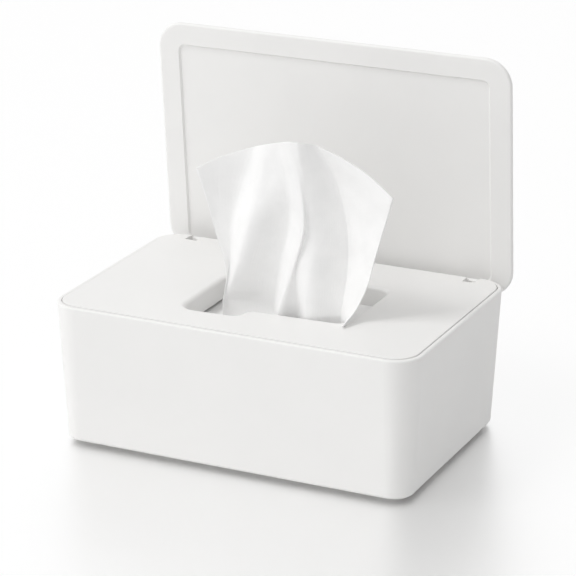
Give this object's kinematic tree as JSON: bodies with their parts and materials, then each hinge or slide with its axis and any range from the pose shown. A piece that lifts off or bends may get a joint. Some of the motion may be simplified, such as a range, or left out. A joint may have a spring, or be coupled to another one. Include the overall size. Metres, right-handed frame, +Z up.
{
  "type": "wet wipes dispenser",
  "caption": "Low rounded plastic box with a hinged flat lid and a drop-in panel whose wave-shaped opening feeds out folded wet wipes.",
  "frame": {"origin": "on the standing surface, in the middle of the plinth under the box", "axes": "+Z up, -Y towards the front of the box, +X to the right; the lid stands open at the rear"},
  "size_m": [0.19, 0.1305, 0.1859],
  "materials": {
    "box_plastic": "satin white moulded plastic with a fine texture",
    "panel_plastic": "satin white moulded plastic with a fine texture",
    "lid_plastic": "satin white moulded plastic with a fine texture",
    "wipe_fabric": "soft white nonwoven cloth, moist"
  },
  "bodies": {
    "base": {"box": "box_plastic", "top_panel": "panel_plastic", "wipe_stack": "wipe_fabric", "pulled_wipe": "wipe_fabric"},
    "lid": {"lid": "lid_plastic"}
  },
  "joints": [
    {"name": "lid_hinge", "type": "hinge", "parent": "base", "child": "lid", "pos_m": [0, 0.058, 0.0657], "axis": [1, 0, 0], "range_deg": [0, 85], "deforming": ["pulled_wipe"]}
  ]
}
